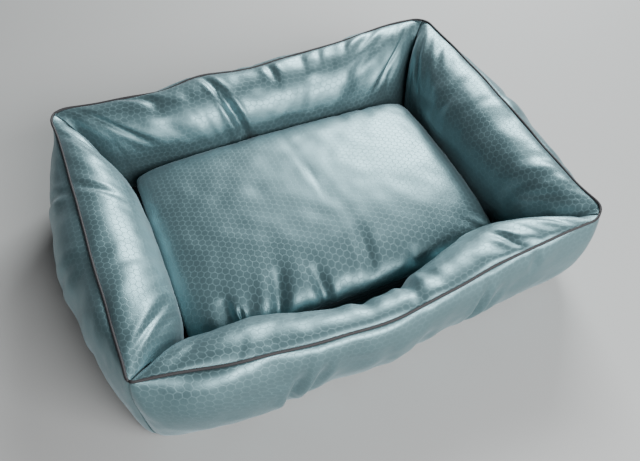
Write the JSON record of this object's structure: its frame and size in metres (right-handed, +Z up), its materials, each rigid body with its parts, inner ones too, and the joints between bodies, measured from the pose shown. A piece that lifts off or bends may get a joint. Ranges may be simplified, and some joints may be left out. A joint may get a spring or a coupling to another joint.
{
  "type": "pet cushion bed",
  "caption": "Rectangular pet bed with stuffed, mitred walls edged in piping around a loose pillow that lifts out and has a zip.",
  "frame": {"origin": "on the floor, under the middle of the bed", "axes": "+X along the bed's length, +Y from the front wall to the back wall, +Z up"},
  "size_m": [0.782, 0.624, 0.1616],
  "materials": {
    "satin": "satin jacquard",
    "piping_cloth": "matt",
    "base_cloth": "matt",
    "fibre": "matt",
    "zip_tape": "matt",
    "zip_coil": "gloss",
    "zip_metal": "satin"
  },
  "bodies": {
    "bed": {"base_panel": "base_cloth", "front_outer_panel": "satin", "front_inner_panel": "satin", "front_filling": "fibre", "front_piping": "piping_cloth", "right_outer_panel": "satin", "right_inner_panel": "satin", "right_filling": "fibre", "right_piping": "piping_cloth", "back_outer_panel": "satin", "back_inner_panel": "satin", "back_filling": "fibre", "back_piping": "piping_cloth", "left_outer_panel": "satin", "left_inner_panel": "satin", "left_filling": "fibre", "left_piping": "piping_cloth"},
    "cushion": {"cushion_top_panel": "satin", "cushion_bottom_panel": "satin", "cushion_filling": "fibre", "zip_upper_tape": "zip_tape", "zip_lower_tape": "zip_tape", "zip_coil": "zip_coil"},
    "slider": {"zip_slider": "zip_metal"},
    "pull": {"zip_pull": "zip_metal"}
  },
  "joints": [
    {"name": "cushion_lift", "type": "slide", "parent": "bed", "child": "cushion", "axis": [0, 0, 1], "range_m": [0, 0.3]},
    {"name": "zip_slide", "type": "slide", "parent": "cushion", "child": "slider", "axis": [1, 0, 0], "range_m": [-0.3, 0]},
    {"name": "pull_hinge", "type": "hinge", "parent": "slider", "child": "pull", "pos_m": [0.15, -0.1817, 0.027], "axis": [0, 0, 1], "range_deg": [0, 170]}
  ]
}
